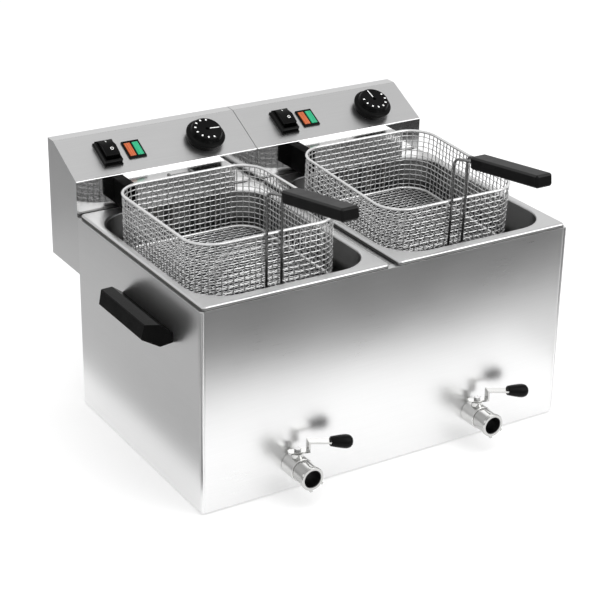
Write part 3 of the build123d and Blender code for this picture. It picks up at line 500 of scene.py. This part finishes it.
for side in SIDES:
    head_sheet(side)
    softened(f"head_bottom_cover_{side}", "head_steel", "fryer", 0.3 * MM)
    softened(f"switch_bezel_{side}", "black_plastic", "fryer", 0.6 * MM)
    softened(f"lamp_bezel_{side}", "black_plastic", "fryer", 0.5 * MM)
    softened(f"lamp_lens_orange_{side}", "lens_orange", "fryer", 0.4 * MM)
    softened(f"lamp_lens_green_{side}", "lens_green", "fryer", 0.4 * MM)
    softened(f"thermostat_{side}", "phenolic", "fryer", 1.0 * MM)
    softened(f"dial_shaft_{side}", "shaft_steel", f"dial_{side}", 0.2 * MM)
    softened(f"rocker_{side}", "black_plastic", f"switch_{side}", 0.9 * MM, 3)


def rocker_marks(side):
    """White dash on the rocker's upper face and ring on its lower face."""
    tilted = joint_place(f"rocker_{side}", (0, -slope_rise, slope_run)) @ rotated(-7, "X")
    crown, fall, half_length, skin = 16, 4, 17.5, 0.03
    lean = Matrix.Rotation(atan2(fall, half_length), 4, "X")

    def on_face(toward, across, along):
        tilt = lean.inverted() if toward > 0 else lean
        return tilted @ moved(across, toward * along, crown - along * fall / half_length + skin) @ tilt

    dash = bmesh.new()
    block(dash, on_face(1, 0.5, 14.5), (1.1, 5.0, 0.12))
    piece(f"rocker_dash_{side}", dash, "white_ink", f"switch_{side}")
    ring = spun([(1.7, 0), (2.8, 0), (2.8, 0.1), (1.7, 0.1), (1.7, 0)], 28)
    bmesh.ops.recalc_face_normals(ring, faces=ring.faces)
    bmesh.ops.transform(ring, matrix=on_face(-1, 2.0, 6.5), verts=ring.verts)
    piece(f"rocker_ring_{side}", ring, "white_ink", f"switch_{side}")


def dial(side, pointer):
    """Dial knob with its base ring, its pointer line and the marks round its top edge."""
    knob = f"knob_{side}"
    sheet = head_place(side)
    lift = (Vector(joints[knob]["pos_m"]) - sheet.translation).dot(sheet.col[2].to_3d())
    place = joint_place(knob, joints[knob]["axis"]) @ Matrix.Translation((0, 0, -lift))
    base = [(3.4, 0), (29.0, 0), (29.0, 6.6), (27.5, 8.0), (3.4, 8.0), (3.4, 0)]
    turned(f"dial_ring_{side}", base, "black_plastic", "fryer", place, (f"knob_base_{side}",), 0.5 * MM)
    body = [(3.1, 8.6), (31.4, 8.6), (33.0, 9.6), (33.0, 12.8), (31.2, 14.6), (27.6, 15.6), (25.2, 23.2),
            (23.6, 24.6), (20.5, 24.2), (3.1, 24.0), (3.1, 8.6)]
    turned(f"dial_knob_{side}", body, "black_plastic", f"dial_{side}", place, (knob,), 0.35 * MM)
    inks = bmesh.new()
    for angle in range(pointer + 75, pointer + 286, 30):
        block(inks, place @ rotated(angle, "Z") @ moved(20.6, 0, 24.1), (4.4, 2.7, 0.6))
    block(inks, place @ rotated(pointer, "Z") @ moved(13.5, 0, 24.05), (17, 1.7, 0.6))
    piece(f"dial_marks_{side}", inks, "white_ink", f"dial_{side}")


for side in SIDES:
    rocker_marks(side)
dial("left", -4)
dial("right", 97)


# ---- drains ----------------------------------------------------------------------------------
def drain(side):
    """Valve barrel with its neck, outlet with its bayonet ring, lever and egg-shaped grip."""
    stem = Vector(joints[f"drain_{side}"]["pos_m"])
    forward = Matrix.Translation((stem.x, casing_front, stem.z)) @ rotated(90, "X")
    barrel_radius, bore = 19.0, 14.2 * MM

    def off_axis(point):
        return Vector((point.x - stem.x, point.z - stem.z)).length

    def neck(bm):
        made = bmesh.ops.create_cone(bm, cap_ends=True, segments=24, radius1=9 * MM, radius2=9 * MM,
                                     depth=14 * MM)["verts"]
        bmesh.ops.transform(bm, matrix=moved(0, 17, 16) @ rotated(-90, "X"), verts=made)

    def lugs(bm):
        for angle in (-35, -95, 145):
            block(bm, rotated(angle, "Z") @ moved(20, 0, 58.4), (4, 4, 4.4))

    barrel = [(6, 0.2), (18.2, 0.2), (barrel_radius, 1.0), (barrel_radius, 30.2), (18.2, 31.0), (6, 31.0)]
    turned(f"valve_barrel_{side}", barrel, "valve_metal", "fryer", forward, (f"valve_body_{side}",),
           0.4 * MM, neck)
    tube = [(13.6, 31.2), (16.9, 31.2), (17.5, 32.0), (17.5, 54.6), (18.6, 55.4), (19.0, 56.2), (19.0, 60.0),
            (18.4, 60.8), (14.6, 60.9), (13.6, 60.2), (13.6, 31.2)]
    outlet = turned(f"outlet_tube_{side}", tube, "nozzle_steel", "fryer", forward,
                    (f"outlet_nozzle_{side}",), 0.3 * MM, lugs)
    # Painted shade: the outlet's bore is nearly black steel.
    second_finish(outlet, "painted_shade_steel", lambda face: off_axis(face.center) < bore)

    body = f"drain_valve_{side}"
    softened(f"drain_lever_{side}", "nozzle_steel", body, 0.35 * MM)
    softened(f"lever_screw_{side}", "shaft_steel", body, 0.4 * MM)
    # Painted shade: the valve plug inside the bore is nearly black steel.
    softened(f"valve_plug_{side}", "painted_shade_steel", body, 0.2 * MM)
    lever_arm, grip_reach, turn, droop = 17, 34, -15, 8
    neck_top, washer, strip, riser = 5, 0.3, 1.5, 15
    height = barrel_radius + neck_top + washer + strip + riser - grip_reach * tan(radians(droop))
    place = Matrix.Translation(stem) @ rotated(turn, "Z") @ moved(lever_arm + grip_reach, 0, height)
    place = place @ rotated(droop, "Y") @ rotated(90, "Y")
    egg = [(0.001, 0), (6.4, 0), (7.6, 1.0), (8.6, 6.0), (9.7, 13.0), (10.6, 20.0), (10.95, 25.0),
           (10.5, 29.0), (9.2, 32.2), (6.6, 34.7), (3.4, 35.8), (0.001, 36.1)]
    turned(f"lever_knob_{side}", egg, "black_plastic", body, place, (f"lever_grip_{side}",))


for side in SIDES:
    drain(side)


# ---- baskets ---------------------------------------------------------------------------------
def basket_route(half_width, half_length, corner, spacing):
    """Points round a basket's outline, with their outward directions, about evenly spaced."""
    runs = (2 * (half_length - corner), 2 * (half_width - corner))
    along = []
    for quarter, run in enumerate((runs[0], runs[1]) * 2):
        out = Vector((cos(quarter * pi / 2), sin(quarter * pi / 2)))
        way = Vector((-out.y, out.x))
        reach = half_width if quarter % 2 == 0 else half_length
        count = round(run / spacing)
        for step in range(count):
            along.append((out * reach + way * run * ((step + 0.5) / count - 0.5), out))
        centre = out * (reach - corner) + way * run / 2
        turns = round(corner * pi / 2 / spacing)
        for step in range(turns):
            angle = quarter * pi / 2 + pi / 2 * (step + 0.5) / turns
            spoke = Vector((cos(angle), sin(angle)))
            along.append((centre + spoke * corner, spoke))
    return along


class Basket:
    """Woven wire basket on its welded frame."""
    corner = 45 * MM
    frame_wire, handle_wire, cloth_wire = 2.5 * MM, 2.2 * MM, 0.72 * MM
    rows, column_pitch, floor_pitch, rim_pitch = 12, 9.5 * MM, 9 * MM, 6 * MM
    solid_handle_rise = 68 * MM

    def __init__(self, side, lean, lift, handle_rise, grip_tilt, solid_grip_tilt, grip_gap):
        """Angles in degrees: the lean about the hook and the grip's rise, here and in the solid."""
        low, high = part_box(f"basket_mesh_{side}")
        self.side, self.body = side, f"basket_{side}"
        self.middle = Vector(((low.x + high.x) / 2, (low.y + high.y) / 2))
        self.half_width = (high.x - low.x) / 2 - self.frame_wire
        self.half_length = (high.y - low.y) / 2 - self.frame_wire
        self.floor = low.z + 1.0 * MM
        self.rim = self.floor + 107 * MM
        weld = 0.02 * MM
        self.stalk_y = self.middle.y - self.half_length - self.frame_wire - weld - self.handle_wire
        self.handle_rise, self.grip_gap = handle_rise, grip_gap
        self.grip_tilt, self.grip_turn = radians(grip_tilt), solid_grip_tilt - grip_tilt
        hook = Matrix.Translation((0, self.middle.y + self.half_length, self.rim))
        self.hang = hook @ Matrix.Translation((0, 0, lift)) @ rotated(lean, "X") @ hook.inverted()

    def outline(self, spacing, grow=0.0):
        """Points and outward directions round the walls, or round an outline grown from them."""
        return basket_route(self.half_width + grow, self.half_length + grow, self.corner + grow, spacing)

    def row_height(self, row):
        return self.rim - row * (self.rim - self.floor) / self.rows

    def cloth(self):
        """Level wires and uprights that pass over and under each other, and the floor."""
        columns = self.outline(self.column_pitch)
        routes = []
        for row in range(1, self.rows):
            ring = []
            for column, (at, out) in enumerate(columns):
                weave = self.cloth_wire * (1 if (row + column) % 2 else -1)
                ring.append((*(self.middle + at + out * weave), self.row_height(row)))
            routes.append((ring, self.cloth_wire, True))
        for column, (at, out) in enumerate(columns):
            wall = self.middle + at
            upright = [(*wall, self.rim - 1.0 * MM)]
            for row in range(1, self.rows):
                weave = self.cloth_wire * (-1 if (row + column) % 2 else 1)
                upright.append((*(wall + out * weave), self.row_height(row)))
            upright.append((*(wall + out * 0.4 * MM), self.floor + 0.8 * MM))
            routes.append((upright, self.cloth_wire * 1.35, False))
        made = wires(f"basket_cloth_{self.side}", routes + self.floor_cloth(), "wire_chrome", self.body,
                     (f"basket_mesh_{self.side}",))
        made.data.transform(self.hang)

    def floor_cloth(self):
        """Wires both ways over the floor, cut to the basket's outline."""
        routes = []
        spans = ((self.half_width, self.half_length), (self.half_length, self.half_width))
        counts = [2 * round(span / self.floor_pitch) for span, _ in spans]
        for turn, (span, other) in enumerate(spans):
            lines, crossings = counts[turn], counts[1 - turn]
            for line in range(-lines + 1, lines, 2):
                place = line * span / lines
                past = abs(place) - (span - self.corner)
                reach = other
                if past > 0:
                    reach = other - self.corner + max(self.corner ** 2 - past ** 2, 0) ** 0.5
                points = [(-reach, 0.0)]
                for crossing in range(-crossings + 1, crossings, 2):
                    along = crossing * other / crossings
                    if abs(along) < reach - 1.0 * MM:
                        over = 1 if ((line + crossing) // 2 + turn) % 2 else -1
                        points.append((along, over * self.cloth_wire))
                points.append((reach, 0.0))
                at = [(place, along, up) if turn == 0 else (along, place, up) for along, up in points]
                route = [(self.middle.x + x, self.middle.y + y, self.floor + up) for x, y, up in at]
                routes.append((route, self.cloth_wire, False))
        return routes

    def rings(self):
        """Rim wire, and the ring inside the foot of the cloth."""
        rim = [(*(self.middle + at), self.rim) for at, _ in self.outline(self.rim_pitch)]
        ring = [(*(self.middle + at), self.floor + 2.4 * MM)
                for at, _ in self.outline(self.rim_pitch, -3.0 * MM)]
        made = wires(f"basket_rim_{self.side}", [(rim, self.frame_wire, True), (ring, self.frame_wire, True)],
                     "rim_wire", self.body, (f"basket_frame_{self.side}",), 3)
        made.data.transform(self.hang)

    def handle(self):
        """Two wires up the front wall and into the grip, and the hook over the hood's lip."""
        top = self.rim + self.handle_rise

        def along_grip(distance, across):
            return (self.middle.x + across, self.stalk_y - distance * cos(self.grip_tilt),
                    top + distance * sin(self.grip_tilt))

        routes = []
        for sign in (-1, 1):
            foot, socket = self.middle.x + sign * 13 * MM, sign * 7.5 * MM
            route = [self.hang @ Vector((foot, self.stalk_y, self.floor + 2.3 * MM)),
                     self.hang @ Vector((foot, self.stalk_y, self.rim)),
                     (foot, self.stalk_y, top),
                     along_grip(self.grip_gap - self.handle_wire, socket),
                     along_grip(self.grip_gap + 38 * MM, socket)]
            routes.append((bent(route, 14 * MM, 6), self.handle_wire, False))
        lip, slip, hook_drop = 2 * MM, 0.3 * MM, 4 * MM
        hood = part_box(f"element_hood_{self.side}")[0].y + lip + slip + self.handle_wire
        back = self.middle.y + self.half_length + self.frame_wire
        arm = [(back, self.rim), (hood, self.rim), (hood, self.rim - hook_drop)]
        hook = [(self.middle.x - 20 * MM, y, z) for y, z in arm]
        hook += [(self.middle.x + 20 * MM, y, z) for y, z in reversed(arm)]
        routes.append((bent(hook, 3.0 * MM, 3), self.handle_wire, False))
        wires(f"basket_handle_{self.side}", routes, "handle_wire", self.body,
              (f"basket_frame_{self.side}",), 3)

    def grip(self):
        """Moulded grip, turned and lowered with the handle wires."""
        made = softened(f"basket_grip_{self.side}", "grip_plastic", self.body, 1.4 * MM, 3)
        heel = Matrix.Translation((0, self.stalk_y, self.rim + self.solid_handle_rise))
        lowered = Matrix.Translation((0, 0, self.handle_rise - self.solid_handle_rise))
        made.data.transform(lowered @ heel @ rotated(self.grip_turn, "X") @ heel.inverted())
        # Painted sheen: the grip's upward faces take the lighter, shinier plastic.
        second_finish(made, "grip_top_painted_sheen", lambda face: face.normal.z > 0.6)


for basket in (Basket("left", 0, 0, 68 * MM, 9.5, 9.5, 45.6 * MM),
               Basket("right", 3, 4 * MM, 62 * MM, 7.5, 5.0, 44.0 * MM)):
    basket.cloth()
    basket.rings()
    basket.handle()
    basket.grip()


# ---- floor, light and camera -----------------------------------------------------------------
def card(name, middle, height, size, turn, shade, seen=False):
    """Level sheet of the studio. Unless it is to be seen, it shows only in reflections."""
    bm = bmesh.new()
    bmesh.ops.create_grid(bm, x_segments=1, y_segments=1, size=0.5)
    place = Matrix.Translation((*middle, height)) @ rotated(turn, "Z") @ Matrix.Diagonal((*size, 1, 1))
    bmesh.ops.transform(bm, matrix=place, verts=bm.verts)
    mesh = bpy.data.meshes.new(name)
    bm.to_mesh(mesh)
    bm.free()
    material = bpy.data.materials.new(name)
    material.use_nodes = True
    shader = material.node_tree.nodes["Principled BSDF"]
    shader.inputs["Base Color"].default_value = (shade, shade, shade, 1)
    shader.inputs["Roughness"].default_value = 0.9
    shader.inputs["Specular IOR Level"].default_value = 0.0
    shader.inputs["Emission Color"].default_value = (1, 1, 1, 1)
    shader.inputs["Emission Strength"].default_value = 0.4 if seen else 0.0
    mesh.materials.append(material)
    made = bpy.data.objects.new(name, mesh)
    bpy.context.scene.collection.objects.link(made)
    if not seen:
        made.visible_camera = made.visible_diffuse = made.visible_shadow = False


def floor_shades():
    """Darker stretches of floor round the part, each a little above the one before."""
    shades = (("front_shade", (0.75, casing_front - 1.67), (4.6, 2.7), 3, 0.05),
              ("left_shade", (casing_low.x - 0.27, 0.5), (0.42, 3.0), 0, 0.42),
              ("left_deep_shade", (casing_low.x - 1.32, 0.9), (1.85, 3.6), 0, 0.2),
              ("corner_shade", (casing_low.x - 0.62, casing_front - 0.36), (1.3, 0.2), 31, 0.12),
              ("right_shade", (casing_high.x + 0.75, casing_front + 0.25), (1.5, 0.5), 0, 0.08),
              ("right_front_shade", (casing_high.x + 0.7, casing_front - 0.22), (1.15, 0.36), 0, 0.6),
              ("back_shade", (0.35, 1.8), (1.9, 1.7), 0, 0.15))
    for step, (name, middle, size, turn, shade) in enumerate(shades):
        card(name, middle, (4 + step) * MM, size, turn, shade)


def lamp(name, place, look, size, power, mirrored=True):
    """Soft rectangular lamp that looks at a point."""
    light = bpy.data.lights.new(name, "AREA")
    light.shape, light.size, light.size_y, light.energy = "RECTANGLE", size[0], size[1], power
    made = bpy.data.objects.new(name, light)
    made.location = place
    made.rotation_euler = (Vector(look) - Vector(place)).to_track_quat("-Z", "Y").to_euler()
    made.visible_glossy = mirrored
    bpy.context.scene.collection.objects.link(made)


def studio_sky():
    """Pale surroundings: dim at the horizon, bright part way up and brightest overhead."""
    world = bpy.data.worlds.new("studio")
    world.use_nodes = True
    nodes, links = world.node_tree.nodes, world.node_tree.links
    direction = nodes.new("ShaderNodeTexCoord")
    split = nodes.new("ShaderNodeSeparateXYZ")
    ramp = nodes.new("ShaderNodeValToRGB")
    for stop, (place, tone) in zip((0, 1), ((0.0, 0.5), (1.0, 1.0))):
        ramp.color_ramp.elements[stop].position = place
        ramp.color_ramp.elements[stop].color = (tone, tone, tone, 1)
    for place, tone in ((0.42, 0.84), (0.75, 0.57), (0.9, 0.57)):
        ramp.color_ramp.elements.new(place).color = (tone, tone, tone, 1)
    links.new(direction.outputs["Generated"], split.inputs["Vector"])
    links.new(split.outputs["Z"], ramp.inputs["Fac"])
    links.new(ramp.outputs["Color"], nodes["Background"].inputs["Color"])
    bpy.context.scene.world = world


def camera():
    """Camera with a long lens, high in front of the left corner."""
    eye = Vector((-1370.35 * MM, casing_front - 1947.13 * MM, 1360.89 * MM))
    ahead = Vector((0.47861115, 0.7737524, -0.41501637))
    right = Vector((0.85407506, -0.51991507, 0.01562424))
    axes = Matrix((right, right.cross(ahead), -ahead)).transposed().to_4x4()
    view = bpy.data.cameras.new("camera")
    view.lens, view.sensor_width = 103.75, 36
    view.clip_start, view.clip_end = 0.05, 60
    made = bpy.data.objects.new("camera", view)
    made.matrix_world = Matrix.Translation(eye) @ axes
    bpy.context.scene.collection.objects.link(made)
    bpy.context.scene.camera = made


card("floor", (0, 0), 0, (40, 40), 0, 0.62, True)
floor_shades()
studio_sky()
bpy.context.scene.view_settings.view_transform = "Standard"
lamp("key", (1.2, -1.75, 1.75), (0, 0.1, 0.4), (2.0, 2.3), 24)
lamp("floor_wash", (0, 0, 4.2), (0, 0, 0), (5, 5), 140, False)
camera()
